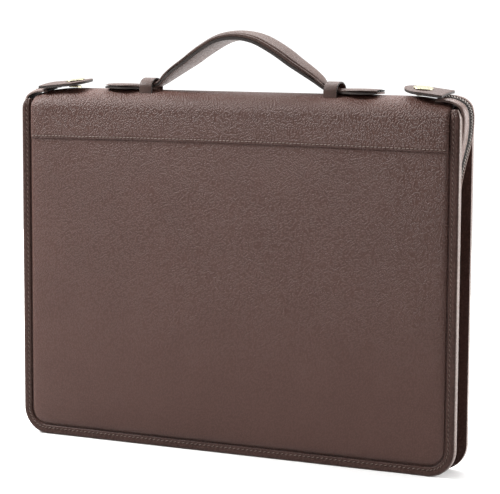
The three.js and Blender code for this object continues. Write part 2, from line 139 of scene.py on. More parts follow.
# White behind the case for its sides, and darker towards the front and below. The camera sees
# white all round.
room = bpy.data.worlds.new("white_room")
room.use_nodes = True
tree = room.node_tree
look = add_node(tree, "ShaderNodeTexCoord").outputs["Generated"]
way = add_node(tree, "ShaderNodeSeparateXYZ", {}, {"Vector": look})
glow = add_node(tree, "ShaderNodeMapRange", {"interpolation_type": "SMOOTHSTEP"}, {
    "Value": way.outputs["Y"],
    "From Min": -0.5,
    "From Max": 0.5,
    "To Min": room_strength,
    "To Max": background_strength,
})
under = add_node(tree, "ShaderNodeMapRange", {}, {
    "Value": way.outputs["Z"],
    "From Min": -0.4,
    "From Max": 0.1,
    "To Min": under_strength,
    "To Max": 1.0,
})
shaded = add_node(tree, "ShaderNodeMath", {"operation": "MULTIPLY"}, {
    0: glow.outputs["Result"],
    1: under.outputs["Result"],
})
seen = add_node(tree, "ShaderNodeMath", {"operation": "MAXIMUM"}, {
    0: add_node(tree, "ShaderNodeLightPath").outputs["Is Camera Ray"],
    1: shaded.outputs["Value"],
})
tree.links.new(seen.outputs["Value"], tree.nodes["Background"].inputs["Strength"])
tree.nodes["Background"].inputs["Color"].default_value = linear("ffffff")
bpy.context.scene.world = room
bpy.context.scene.view_settings.view_transform = "Standard"

case_middle = Vector((0, 0, 140 * MM))
for name, place, (width, height), watts in softboxes:
    light = bpy.data.lights.new(name, "AREA")
    light.shape = "RECTANGLE"
    light.size = width
    light.size_y = height
    light.energy = watts
    softbox = bpy.data.objects.new(name, light)
    softbox.matrix_world = Matrix.Translation(place) @ (
        (Vector(place) - case_middle).to_track_quat("Z", "Y").to_matrix().to_4x4()
    )
    bpy.context.scene.collection.objects.link(softbox)

# Front and back cover panels. Each is pebble-grained leather pulled over thin padding and a
# board, and turned in at its edges, so the face swells a little and rolls back at the rim.
panel_low, panel_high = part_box("front_panel")
panel_half = panel_high.x
panel_bottom = panel_low.z
panel_back = -panel_high.y
panel_corner_radius = 12.6 * MM
case_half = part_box("front_binding")[1].x
binding_face = -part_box("front_binding")[0].y
shoulder_base = 263.5 * MM
seam_height = 239.8 * MM
seam_arch = 1.5 * MM
panel_proud = 0.6 * MM
panel_crown = 1.9 * MM
rim_roll = 1.3 * MM
rim_width = 3.2 * MM
soft_rim_roll = 0.8 * MM
soft_rim_width = 6 * MM
panel_columns = 110
panel_rows = 76
seam_overlap = 1.2 * MM
grain_slant = math.radians(28)


def seam_at(x):
    """Height of the seam between panel and spine, which arches a little."""
    return seam_height + seam_arch * (1 - (x / case_half) ** 2)


def swell(x, z):
    """How far the padding lifts a cover's face."""
    across = min(1, abs(x) / case_half)
    up = min(1, abs(2 * z - shoulder_base) / shoulder_base)
    return panel_crown * (1 - across**4) * (1 - up**4)


def rolled(inset):
    """How far leather that is turned in has rolled back, at a distance in from its edge."""
    share = min(1, max(0, inset / rim_width))
    tight = rim_roll * (1 - math.sqrt(1 - (1 - share) ** 2))
    return tight + soft_rim_roll * math.exp(-inset / soft_rim_width)


def crowded(share):
    """A share from 0 to 1 with the rows close together at both ends."""
    return 0.5 - 0.5 * math.cos(math.pi * share)


def bent_sheet(columns, rows, place):
    """A flat sheet of quads whose points go where place(u, v) says, with u and v from 0 to 1."""
    sheet = bmesh.new()
    bmesh.ops.create_grid(sheet, x_segments=columns, y_segments=rows, size=0.5)
    for vertex in sheet.verts:
        vertex.co = place(vertex.co.x + 0.5, vertex.co.y + 0.5)
    return sheet


def close_solid(sheet):
    """Joins the sheet's meeting edges, fills its open ends and points its faces outwards."""
    bmesh.ops.remove_doubles(sheet, verts=sheet.verts, dist=0.005 * MM)
    bmesh.ops.holes_fill(sheet, edges=sheet.edges, sides=0)
    bmesh.ops.recalc_face_normals(sheet, faces=sheet.faces)
    return sheet


def outwardness(face):
    """How squarely a face looks out of the case, seen from the front: 1 is outwards, -1 inwards."""
    outward = (face.calc_center_median() - case_middle) * Vector((1, 0, 1))
    return face.normal.dot(outward.normalized())


def finished_piece(name, shape, materials, slot, *nodes, sharp_over=40):
    """Makes an object of the shape, on the case's one body, standing for the named solids."""
    mesh = bpy.data.meshes.new(name)
    shape.to_mesh(mesh)
    shape.free()
    for material in materials:
        mesh.materials.append(material)
    mesh.shade_smooth()
    mesh.set_sharp_from_angle(angle=math.radians(sharp_over))
    piece = bpy.data.objects.new(name, mesh)
    bpy.context.scene.collection.objects.link(piece)
    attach(piece, "root")
    if nodes:
        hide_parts(*nodes)
    return piece


def grained_leather(name, colours, cell, stretch, depth, roughness, gloss=0.5, smooth_below=None):
    """Cowhide coloured by drum dyeing, with a pebbled grain, finished satin: cell is a pebble's width in
    millimetres, stretch its length over its width, depth how deep the creases between are.
    Under the height smooth_below the hide comes from the belly, where its grain is flatter.
    The creases between the pebbles are painted in the first, darker colour as shade, and the
    pebble tops in the second as their sheen; the third is a paler tone in random patches."""
    material, tree, output = new_material(name)
    crease_shade_colour, ground, worn = (linear(colour) for colour in colours)
    place = add_node(tree, "ShaderNodeTexCoord").outputs["Object"]
    wander = add_node(tree, "ShaderNodeTexNoise", {}, {
        "Vector": place,
        "Scale": 1 / (7 * MM),
        "Detail": 2.0,
    })
    pull = add_node(tree, "ShaderNodeVectorMath", {"operation": "MULTIPLY_ADD"}, {
        0: wander.outputs["Color"],
        1: [0.9 * cell * MM] * 3,
        2: place,
    })
    lie = add_node(tree, "ShaderNodeMapping", {"vector_type": "TEXTURE"}, {
        "Vector": pull.outputs["Vector"],
        "Rotation": [0, grain_slant, 0],
        "Scale": [1, 1, stretch],
    })
    pebbles = add_node(tree, "ShaderNodeTexVoronoi", {"feature": "SMOOTH_F1"}, {
        "Vector": lie.outputs["Vector"],
        "Scale": 1 / (cell * MM),
        "Smoothness": 0.2,
        "Randomness": 1.0,
    })
    domes = add_node(tree, "ShaderNodeMapRange", {"interpolation_type": "SMOOTHSTEP"}, {
        "Value": pebbles.outputs["Distance"],
        "From Min": 0.1,
        "From Max": 0.75,
        "To Min": 1.0,
        "To Max": 0.0,
    })
    creases = add_node(tree, "ShaderNodeTexNoise", {}, {
        "Vector": lie.outputs["Vector"],
        "Scale": 1 / (3.4 * cell * MM),
        "Detail": 3.0,
        "Roughness": 0.6,
    })
    patches = add_node(tree, "ShaderNodeTexNoise", {}, {
        "Vector": place,
        "Scale": 1 / (38 * MM),
        "Detail": 3.0,
    })
    lift = add_node(tree, "ShaderNodeMath", {"operation": "MULTIPLY_ADD"}, {
        0: creases.outputs["Fac"],
        1: 0.25,
        2: domes.outputs["Result"],
    })
    relief = add_node(tree, "ShaderNodeBump", {}, {
        "Strength": 1.0,
        "Distance": depth * MM,
        "Height": lift.outputs["Value"],
    })
    if smooth_below:
        height = add_node(tree, "ShaderNodeSeparateXYZ", {}, {"Vector": place}).outputs["Z"]
        drifting = add_node(tree, "ShaderNodeMath", {"operation": "MULTIPLY_ADD"}, {
            0: patches.outputs["Fac"],
            1: 0.12,
            2: height,
        })
        grown = add_node(tree, "ShaderNodeMapRange", {"interpolation_type": "SMOOTHSTEP"}, {
            "Value": drifting.outputs["Value"],
            "From Min": smooth_below * MM,
            "From Max": (smooth_below + 170) * MM,
            "To Min": 0.12,
            "To Max": 1.0,
        })
        tree.links.new(grown.outputs["Result"], relief.inputs["Strength"])
    # Painted shade and sheen: the creases between the pebbles take the darker colour, the pebble tops
    # the lighter one.
    painted_crease_shade = add_node(tree, "ShaderNodeMix", {"data_type": "RGBA"}, {
        0: domes.outputs["Result"],
        6: crease_shade_colour,
        7: ground,
    })
    wear = add_node(tree, "ShaderNodeMapRange", {}, {
        "Value": patches.outputs["Fac"],
        "From Min": 0.4,
        "From Max": 0.75,
        "To Max": 0.4,
    })
    tinted = add_node(tree, "ShaderNodeMix", {"data_type": "RGBA"}, {
        0: wear.outputs["Result"],
        6: painted_crease_shade.outputs[2],
        7: worn,
    })
    polish = add_node(tree, "ShaderNodeMapRange", {}, {
        "Value": domes.outputs["Result"],
        "To Min": roughness + 0.1,
        "To Max": roughness - 0.04,
    })
    hide = add_node(tree, "ShaderNodeBsdfPrincipled", {}, {
        "Base Color": tinted.outputs[2],
        "Roughness": polish.outputs["Result"],
        "IOR": 1.5,
        "Specular IOR Level": gloss,
        "Normal": relief.outputs["Normal"],
    })
    tree.links.new(hide.outputs["BSDF"], output.inputs["Surface"])
    return material


# Colours: painted shade in the creases, the pebble tops as painted sheen, paler random patches.
cover_leather = grained_leather(
    "pebbled_cowhide", ("59382f", "634136", "69463c"),
    cell=0.95, stretch=1.7, depth=0.36, roughness=0.46, smooth_below=35)


def panel_point(u, v):
    """A point of a cover's face, for shares across it and up it."""
    x = panel_half * (2 * crowded(u) - 1)
    past = max(0, abs(x) - (panel_half - panel_corner_radius))
    drop = math.sqrt(max(0, panel_corner_radius**2 - past**2))
    bottom = panel_bottom + panel_corner_radius - drop
    z = bottom + crowded(v) * (seam_at(x) + seam_overlap - bottom)
    to_side = panel_half - abs(x)
    to_bottom = z - panel_bottom
    inset = min(to_side, to_bottom)
    if to_side < panel_corner_radius and to_bottom < panel_corner_radius:
        to_middle = math.hypot(panel_corner_radius - to_side, panel_corner_radius - to_bottom)
        inset = panel_corner_radius - to_middle
    return Vector((x, rolled(inset) - binding_face - panel_proud - swell(x, z), z))


def padded_panel(name, turn):
    """A cover's padded leather face, with its edges turned back to the board."""
    panel = bent_sheet(panel_columns, panel_rows, panel_point)
    rim = [edge for edge in panel.edges if edge.is_boundary]
    turned = bmesh.ops.extrude_edge_only(panel, edges=rim)["geom"]
    for vertex in turned:
        if isinstance(vertex, bmesh.types.BMVert):
            vertex.co.y = -panel_back
    close_solid(panel)
    bmesh.ops.rotate(panel, verts=panel.verts, matrix=Matrix.Rotation(turn, 3, "Z"))
    piece = finished_piece(f"{name}_leather", panel, [cover_leather], "cover_leather", name)
    return piece


padded_panel("front_panel", 0)
padded_panel("back_panel", math.pi)

# Spine leather. One piece of the same hide, wrapped over the top from the front seam to the back
# seam, stitched down along both and gathered in a little where its ends sink.
spine_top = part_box("top_wrap")[1].z
spine_sag = 7 * MM
spine_sag_reach = 47 * MM
wrap_step = 0.9 * MM
wrap_wall = 2.2 * MM
stitch_rise = 1.9 * MM
stitch_groove = 0.28 * MM
stitch_groove_width = 0.6 * MM
seam_roll = 0.5 * MM
wrap_columns = 120
wrap_rows = 130


def spine_top_at(x):
    """Height of the spine's top, which sinks towards both ends."""
    along = max(0, abs(x) - (case_half - spine_sag_reach)) / spine_sag_reach
    return spine_top - spine_sag * along**2


def wrap_point(u, v):
    """A point of the spine leather, for shares along it and round it from front to back."""
    x = panel_half * (2 * crowded(u) - 1)
    foot = seam_at(x)
    leg = shoulder_base - foot
    shoulder = binding_face + panel_proud + wrap_step + swell(x, shoulder_base)
    rise = spine_top_at(x) - shoulder_base
    over = math.pi * (shoulder + rise) / 2
    way = crowded(v) * (2 * leg + over)
    to_seam = min(way, 2 * leg + over - way)
    sunk = rolled(panel_half - abs(x)) + seam_roll * math.exp(-to_seam / seam_roll)
    sunk += stitch_groove * math.exp(-(((to_seam - stitch_rise) / stitch_groove_width) ** 2))
    if to_seam < leg:
        side = -1 if way < leg else 1
        z = foot + to_seam
        return Vector((x, side * (binding_face + panel_proud + wrap_step + swell(x, z) - sunk), z))
    angle = math.pi * (way - leg) / over
    y = (sunk - shoulder) * math.cos(angle)
    return Vector((x, y, shoulder_base + (rise - sunk) * math.sin(angle)))


spine = bent_sheet(wrap_columns, wrap_rows, wrap_point)
bmesh.ops.recalc_face_normals(spine, faces=spine.faces)
bmesh.ops.solidify(spine, geom=spine.faces[:], thickness=wrap_wall)
bmesh.ops.recalc_face_normals(spine, faces=spine.faces)
spine_leather = finished_piece("spine_leather", spine, [cover_leather], "cover_leather", "top_wrap")

# Leather bindings. A strip of smoother hide folded round the edge of each cover and sewn through,
# down one side, along the bottom and up the other, with its ends turned back over the spine.
binding_low, binding_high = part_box("front_binding")
binding_width = 7.2 * MM
binding_thickness = binding_high.y - binding_low.y
binding_corner_radius = 21 * MM
binding_top_taper = 2.5 * MM
binding_top_turn = math.radians(30)
binding_top_length = binding_face * math.sin(binding_top_turn)
binding_steps = 300
# Round the strip: share of its width in from the outer edge, and how far back from its face.
binding_section = [
    (0.0, 4.8), (0.0, 1.5), (0.03, 0.8), (0.09, 0.3), (0.2, 0.05), (0.36, 0.0), (0.55, 0.1),
    (0.66, 0.32), (0.72, 0.36), (0.78, 0.22), (0.88, 0.2), (0.96, 0.55), (1.0, 1.0), (1.0, 1.35),
    (1.15, 1.35), (1.15, 4.8),
]

binding_leather = grained_leather(
    "folded_binding_cowhide", ("472f28", "593c34", "62453e"),
    cell=1.4, stretch=1.3, depth=0.2, roughness=0.42, gloss=0.3)
# The folded outer edge of the same strip, painted paler as a highlight where the side lights catch it.
binding_edge_highlight = grained_leather(
    "binding_edge_painted_highlight", ("705d55", "86756e", "98877f"),
    cell=1.4, stretch=1.3, depth=0.08, roughness=0.34)


def binding_station(way):
    """Where the strip's outer edge is after a way along it, which way is in, and how far the top
    ends have turned back, all for the right half; the left half is its mirror image."""
    side = shoulder_base - binding_corner_radius
    corner = binding_corner_radius * math.pi / 2
    if way < binding_top_length:
        share = 1 - way / binding_top_length
        pull = binding_top_taper * share**2
        return case_half - pull, shoulder_base, -1, 0, 1 - pull / binding_width, share * binding_top_turn
    way -= binding_top_length
    if way < side:
        return case_half, shoulder_base - way, -1, 0, 1, 0
    way -= side
    if way < corner:
        angle = way / binding_corner_radius
        reach = case_half - binding_corner_radius
        return (reach + binding_corner_radius * math.cos(angle),
                binding_corner_radius * (1 - math.sin(angle)), -math.cos(angle), math.sin(angle), 1, 0)
    return case_half - binding_corner_radius - (way - corner), 0, 0, 1, 1, 0


binding_half_length = (
    binding_top_length + shoulder_base - binding_corner_radius
    + binding_corner_radius * math.pi / 2 + case_half - binding_corner_radius)


def binding_point(way, across, back):
    """A point of the front binding, at a way from its right top end."""
    mirrored = -1 if way > binding_half_length else 1
    x, z, in_x, in_z, width, turn = binding_station(min(way, 2 * binding_half_length - way))
    depth = binding_face - back
    x += in_x * across * binding_width * width
    z += in_z * across * binding_width * width + depth * math.sin(turn)
    return Vector((mirrored * x, -max(binding_face - binding_thickness, depth * math.cos(turn)), z))


def binding_sheet_point(u, v):
    """A point of the whole strip, for shares along it and round its section."""
    across, back = binding_section[round(v * len(binding_section)) % len(binding_section)]
    return binding_point(u * 2 * binding_half_length, across, back * MM)


for name, turn in (("front_binding", 0), ("back_binding", math.pi)):
    strip = close_solid(bent_sheet(binding_steps, len(binding_section), binding_sheet_point))
    # The faces looking out of the case, round the strip's folded outer edge, take the paler colour as a
    # painted highlight.
    for face in strip.faces:
        face.material_index = 1 if outwardness(face) > 0.5 else 0
    bmesh.ops.rotate(strip, verts=strip.verts, matrix=Matrix.Rotation(turn, 3, "Z"))
    finished_piece(f"{name}_leather", strip, [binding_leather, binding_edge_highlight],
                   "binding_leather", name, sharp_over=60)

# Sewing. Each stitch is sewn by machine, lies slanted in the leather's groove and dips into its
# needle hole at both ends.
thread_thickness = 0.62 * MM
seam_stitch_lift = 0.22 * MM
seam_stitch = 3.1 * MM
binding_stitch = 3.7 * MM
binding_stitch_inset = 0.69
binding_stitch_depth = 0.12 * MM


def mottled_material(name, patch, detail, colours, roughness, metallic=0.0, relief=0.0):
    """A material that drifts from the first colour and roughness to the second, in patches of so
    many millimetres, with the patches raised by relief."""
    material, tree, output = new_material(name)
    place = add_node(tree, "ShaderNodeTexCoord").outputs["Object"]
    patches = add_node(tree, "ShaderNodeTexNoise", {}, {
        "Vector": place,
        "Scale": 1 / (patch * MM),
        "Detail": detail,
    }).outputs["Fac"]
    shade = add_node(tree, "ShaderNodeMix", {"data_type": "RGBA"}, {
        0: patches,
        6: linear(colours[0]),
        7: linear(colours[1]),
    })
    polish = add_node(tree, "ShaderNodeMapRange", {}, {
        "Value": patches,
        "To Min": roughness[0],
        "To Max": roughness[1],
    })
    surface = add_node(tree, "ShaderNodeBsdfPrincipled", {}, {
        "Base Color": shade.outputs[2],
        "Metallic": metallic,
        "Roughness": polish.outputs["Result"],
    })
    if relief:
        raised = add_node(tree, "ShaderNodeBump", {}, {"Distance": relief, "Height": patches})
        tree.links.new(raised.outputs["Normal"], surface.inputs["Normal"])
    tree.links.new(surface.outputs["BSDF"], output.inputs["Surface"])
    return material


# Bonded polyester thread, tan on the seams and brown on the rest: its plies are lighter than
# the gaps between them.
light_thread = mottled_material("bonded_tan_thread", 0.8, 2.0, ("8a7268", "c8b3a8"), (0.55, 0.55))
dark_thread = mottled_material("bonded_brown_thread", 0.8, 2.0, ("6a544a", "a28c80"), (0.55, 0.55))


def sewn(name, places, length, slant, thread_kind, width=thread_thickness):
    """A row of stitches. places holds, for each, its middle, the way along and the way out."""
    thread = bmesh.new()
    for middle, along, outward in places:
        across = outward.cross(along).normalized()
        lie = Matrix((along.normalized(), across, outward.normalized())).transposed().to_4x4()
        bmesh.ops.create_icosphere(
            thread, subdivisions=2, radius=0.5,
            matrix=Matrix.Translation(middle) @ lie @ Matrix.Rotation(slant, 4, "Z")
            @ Matrix.Diagonal((length, width, width * 0.8, 1)))
    return finished_piece(name, thread, [thread_kind], "thread", sharp_over=180)


def seam_places(turn):
    """The stitches along the spine leather's lower edge, on one cover."""
    count = round(2 * (panel_half - 2 * MM) / seam_stitch)
    spun = Matrix.Rotation(turn, 3, "Z")
    along, outward = spun @ Vector((1, 0, 0)), spun @ Vector((0, -1, 0))
    places = []
    for i in range(count):
        x = (i + 0.5 - count / 2) * seam_stitch
        z = seam_at(x) + stitch_rise
        sunk = stitch_groove + rolled(panel_half - abs(x)) - seam_stitch_lift
        out = binding_face + panel_proud + wrap_step + swell(x, z) - sunk
        places.append((spun @ Vector((x, -out, z)), along, outward))
    return places


def binding_places(turn):
    """The stitches along a cover's binding, near its inner edge."""
    count = round(2 * binding_half_length / binding_stitch)
    spun = Matrix.Rotation(turn, 3, "Z")
    places = []
    for i in range(count):
        way = (i + 0.5) * binding_stitch
        here = binding_point(way, binding_stitch_inset, binding_stitch_depth)
        there = binding_point(way + 0.5 * MM, binding_stitch_inset, binding_stitch_depth)
        inner = binding_point(way, binding_stitch_inset + 0.1, binding_stitch_depth)
        along = (there - here).normalized()
        outward = (inner - here).cross(along)
        outward *= 1 if outward.y < 0 else -1
        places.append((spun @ here, spun @ along, spun @ outward))
    return places


for side, turn in (("front", 0), ("back", math.pi)):
    sewn(f"{side}_seam_stitches", seam_places(turn), 0.8 * seam_stitch, math.radians(6), light_thread)
    sewn(f"{side}_binding_stitches", binding_places(turn), 0.72 * binding_stitch, math.radians(24),
         dark_thread)

# Zip gussets. Two strips of thin smooth hide that carry the zip, from under one tab round the
# case to under the other. They lie back between the covers and swing out over the top corners.
band_side = case_half - 6.5 * MM
band_lowest = 6.15 * MM
band_end = case_half - binding_width - 14 * MM
band_top = spine_top_at(band_end) + 2.3 * MM
band_top_length = 14 * MM
band_swing = 9.5 * MM
band_rise = 76 * MM
band_corner_radius = 16 * MM
band_bulge = 2.4 * MM
band_lean = 1.6 * MM
zip_half = 4.6 * MM
gusset_stitch = 2.6 * MM
band_step = 2.5 * MM
seat_gap = 0.3 * MM
gusset_inner = binding_face - binding_thickness - seat_gap
# Round a top corner: share of the swing out, share of the rise down, bulge and lean.
band_corner = [
    (0.19, 0.026, 0.55, 0.85), (0.76, 0.078, 0.75, 0.5), (1.01, 0.155, 0.95, 0.2),
    (1.06, 0.25, 1.0, 0.1), (0.95, 0.41, 1.0, 0.05), (0.61, 0.59, 1.0, 0.0),
    (0.27, 0.78, 1.0, 0.0), (0.03, 1.0, 1.0, 0.0),
]


def smooth_line(rows, cuts):
    """Rows along a smooth curve through the given ones, with cuts of them for each given one.
    The first two columns are the curve's place, the others go along with it."""
    rows = [Vector(row) for row in rows]
    ends = [2 * rows[0] - rows[1], *rows, 2 * rows[-1] - rows[-2]]
    line = []
    for a, b, c, d in zip(ends, ends[1:], ends[2:], ends[3:]):
        gap_1, gap_2, gap_3 = (math.sqrt((q - p).to_2d().length) for p, q in ((a, b), (b, c), (c, d)))
        leave = ((b - a) / gap_1 - (c - a) / (gap_1 + gap_2) + (c - b) / gap_2) * gap_2
        arrive = ((c - b) / gap_2 - (d - b) / (gap_2 + gap_3) + (d - c) / gap_3) * gap_2
        for i in range(cuts):
            t = i / cuts
            line.append(b + leave * t + (3 * (c - b) - 2 * leave - arrive) * t**2
                        + (2 * (b - c) + leave + arrive) * t**3)
    return [*line, rows[-1]]


def even_line(rows, spacing):
    """The same line, with its rows evenly spaced: each is its place, its way out and the rest."""
    ways = [0]
    for here, there in zip(rows, rows[1:]):
        ways.append(ways[-1] + (there - here).to_2d().length)
    count = round(ways[-1] / spacing)
    even = []
    at = 0
    for i in range(count + 1):
        way = i * ways[-1] / count
        while at < len(rows) - 2 and ways[at + 1] < way:
            at += 1
        share = (way - ways[at]) / (ways[at + 1] - ways[at])
        along = (rows[at + 1] - rows[at]).to_2d().normalized()
        even.append((rows[at].lerp(rows[at + 1], share), Vector((-along.y, 0, along.x))))
    return even


def band_rows():
    """Half of the zip band's middle line, from under a tab round to the bottom of the case."""
    rows = [(band_end, band_top, 0.4, 1.0), (band_end + 0.6 * band_top_length, band_top, 0.4, 1.0)]
    for out, down, bulge, lean in band_corner:
        rows.append((band_side + out * band_swing, band_top - down * band_rise, bulge, lean))
    rows.append((band_side, (band_top - band_rise + band_corner_radius) / 2, 1.0, 0.0))
    for i in range(5):
        angle = i * math.pi / 8
        rows.append((band_side - band_corner_radius * (1 - math.cos(angle)),
                     band_lowest + band_corner_radius * (1 - math.sin(angle)), 1.0, 0.0))
    return rows


right_rows = band_rows()
left_rows = [(-x, z, bulge, lean) for x, z, bulge, lean in reversed(right_rows)]
band = even_line(smooth_line(right_rows + left_rows, 6), band_step)


def band_point(way, y, height):
    """A point on the band: way is its place in the list of stations, y its depth in the case."""
    at = min(int(way), len(band) - 2)
    (here, out), (there, next_out) = band[at], band[at + 1]
    row = here.lerp(there, way - at)
    away = out.lerp(next_out, way - at).normalized()
    across = y / (binding_face - binding_thickness)
    rise = row[3] * band_lean * across - row[2] * band_bulge * across**2
    return Vector((row[0], y, row[1])) + away * (height + rise)


smooth_leather = grained_leather(
    "smooth_strap_cowhide", ("4a342c", "553a31", "5f453a"),
    cell=1.2, stretch=1.2, depth=0.07, roughness=0.48)
# The gussets are thin hide; their leather is a paler copy of the strap leather, painted lighter to stand
# for the light and sheen that fall on them.
gusset_leather_painted_lighter = grained_leather(
    "gusset_cowhide_painted_lighter", ("725c55", "836b63", "8f7870"),
    cell=1.2, stretch=1.2, depth=0.08, roughness=0.42)

# Dyed polyester ribbon, woven in a herringbone: dull, with a fine rib across it. The same near-black
# material is put on the gussets' inward faces as painted shade.
tape_and_underside_shade = mottled_material(
    "woven_tape_and_underside_shade", 0.6, 2.0, ("15110f", "2e2725"), (0.8, 0.8), relief=0.1 * MM)

# Round a strip: share of the way from the zip to the cover, and height in millimetres.
gusset_section = [
    (0.0, -1.5), (0.0, -0.5), (0.03, -0.12), (0.1, 0.0), (0.2, -0.18), (0.3, 0.0), (0.5, 0.05),
    (0.75, 0.0), (0.95, -0.1), (1.0, -0.6), (1.0, -1.5),
]


def gusset_depth(side, share):
    """How deep in the case a gusset is, at a share of the way from the zip to the cover."""
    gusset_outer = zip_half + seat_gap
    return side * (gusset_outer + share * (gusset_inner - gusset_outer))


for name, side in (("front_gusset", -1), ("back_gusset", 1)):
    def gusset_point(u, v, side=side):
        share, height = gusset_section[round(v * len(gusset_section)) % len(gusset_section)]
        return band_point(u * (len(band) - 1), gusset_depth(side, share), height * MM)

    strip = close_solid(bent_sheet(len(band) - 1, len(gusset_section), gusset_point))
    # The gussets' inward faces, where they stand clear of the spine's ends, take the near-black tape
    # material as painted shade.
    for face in strip.faces:
        face.material_index = 1 if outwardness(face) < -0.3 else 0
    finished_piece(f"{name}_leather", strip, [gusset_leather_painted_lighter, tape_and_underside_shade], "strap_leather", name)

    stitches = []
    for i in range(round((len(band) - 1) * band_step / gusset_stitch)):
        way = (i + 0.5) * gusset_stitch / band_step
        depth = gusset_depth(side, 0.2)
        here, there = band_point(way, depth, -0.1 * MM), band_point(way + 0.2, depth, -0.1 * MM)
        stitches.append((here, there - here, band_point(way, depth, MM) - here))
    sewn(f"{name}_stitches", stitches, 0.74 * gusset_stitch, 0, dark_thread, width=0.42 * MM)

# Zip. Woven polyester tape sewn under the gussets, and on it a moulded coil whose loops hook
# into each other, so that the closed zip is a dark line with fine bright ribs.
tape_sink = 0.9 * MM
tape_wall = 1.2 * MM
coil_half = 2.3 * MM
coil_height = 1.1 * MM
loop_pitch = 2.2 * MM
loop_width = 0.95 * MM

# Extruded polyester wire, dark and rubbed grey: glossy enough for a highlight on each loop.
polyester_wire = mottled_material(
    "moulded_polyester_coil", 3, 2.0, ("3d3531", "a3968c"), (0.22, 0.5))


def tape_point(u, v):
    """A point of the two tapes, which are one flat strip under the coil."""
    side, under = [(-1, 0), (1, 0), (1, 1), (-1, 1)][round(v * 4) % 4]
    return band_point(u * (len(band) - 1), side * zip_half, -under * tape_wall - tape_sink)


tape = close_solid(bent_sheet(len(band) - 1, 4, tape_point))
finished_piece("zip_tape", tape, [tape_and_underside_shade], "zip", "zip_chain")

coil = bmesh.new()
for i in range(int((len(band) - 1) * band_step / loop_pitch)):
    for side, shift in ((-1, 0.25), (1, 0.75)):
        way = (i + shift) * loop_pitch / band_step
        middle = band_point(way, side * 0.42 * coil_half, -0.3 * MM)
        along = (band_point(way + 0.2, 0, 0) - band_point(way, 0, 0)).normalized()
        outward = (band_point(way, 0, MM) - band_point(way, 0, 0)).normalized()
        lie = Matrix((along, outward.cross(along), outward)).transposed().to_4x4()
        bmesh.ops.create_icosphere(
            coil, subdivisions=2, radius=0.5,
            matrix=Matrix.Translation(middle) @ lie
            @ Matrix.Diagonal((loop_width, 1.25 * coil_half, 1.3 * coil_height, 1)))
finished_piece("zip_coil", coil, [polyester_wire], "zip", sharp_over=180)

# Zip slider. A die-cast body in dark bronze lacquer that rides on the coil, with a flat pull
# hanging from its bridge.
slider_low, slider_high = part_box("zip_slider")
slider_body_length = 12 * MM
pull_length = 24 * MM
pull_width = 5.5 * MM
pull_thickness = 1.4 * MM

# Zinc alloy under dark bronze lacquer, a little rubbed: dark metal with soft highlights.
bronze_lacquer = mottled_material(
    "lacquered_zinc_alloy", 2.5, 4.0, ("3a322e", "5a4d45"), (0.28, 0.5), metallic=0.85)


def bevelled_block(shape, place, size, radius):
    """Adds a block with rounded edges to the shape."""
    block = bmesh.ops.create_cube(shape, size=1, matrix=Matrix.Translation(place)
                                  @ Matrix.Diagonal((*size, 1)))
    edges = {edge for vertex in block["verts"] for edge in vertex.link_edges}
    bmesh.ops.bevel(shape, geom=list(edges), offset=radius, segments=3, affect="EDGES",
                    profile=0.5, material=-1)


slider = bmesh.new()
body_middle = slider_high.z - slider_body_length / 2
body_x = (slider_low.x + slider_high.x) / 2
pull_x = slider_low.x + 0.9 * MM
# Base plate, body, bridge, pull and the pull's neck: place, size and how far the edges round.
slider_blocks = [
    ((body_x + 0.9 * MM, 0, body_middle), (1.1 * MM, 9 * MM, slider_body_length), 0.5 * MM),
    ((body_x - 0.3 * MM, 0, body_middle), (1.3 * MM, 6.4 * MM, 0.8 * slider_body_length), 0.6 * MM),
    ((body_x - 1.4 * MM, 0, body_middle), (1.5 * MM, 2.2 * MM, 0.55 * slider_body_length), 0.6 * MM),
    ((pull_x, 0, body_middle - pull_length / 2 + 2 * MM),
     (pull_thickness, pull_width, pull_length - 4 * MM), 0.6 * MM),
    ((pull_x, 0, body_middle + 3 * MM), (pull_thickness, 3.4 * MM, 4 * MM), 0.6 * MM),
]
for block_place, block_size, rounding in slider_blocks:
    bevelled_block(slider, block_place, block_size, rounding)
finished_piece("bronze_zip_slider", slider, [bronze_lacquer], "slider", "zip_slider")

# Tabs. Two blanks of thick smooth hide, cut round at one end, that hold the zip's ends down.
# Each is skived and edge-painted, and rises a little to its press-stud.
tab_width = 28 * MM
tab_thickness = 2.4 * MM
tab_crown = 0.6 * MM
tab_lean = 1.4 * MM
teeth_proud = 0.35 * MM
tab_end_top = band_top + teeth_proud + seat_gap + tab_thickness
# name, side, from the case's side in to the stud, from the stud out to the square end, rise
tabs = [
    ("left", -1, 40.5 * MM, 26 * MM, math.radians(5.2)),
    ("right", 1, 34.5 * MM, 19.5 * MM, math.radians(6.5)),
]

# Edge paint over cut leather: a smooth dark skin, duller than the face.
edge_paint = mottled_material("leather_edge_paint", 1.5, 3.0, ("1c1412", "33261f"), (0.55, 0.55))


def tab_top_at(along, rise):
    """Height of a tab's top over its middle line, from its square end."""
    return tab_end_top + math.tan(rise) * along


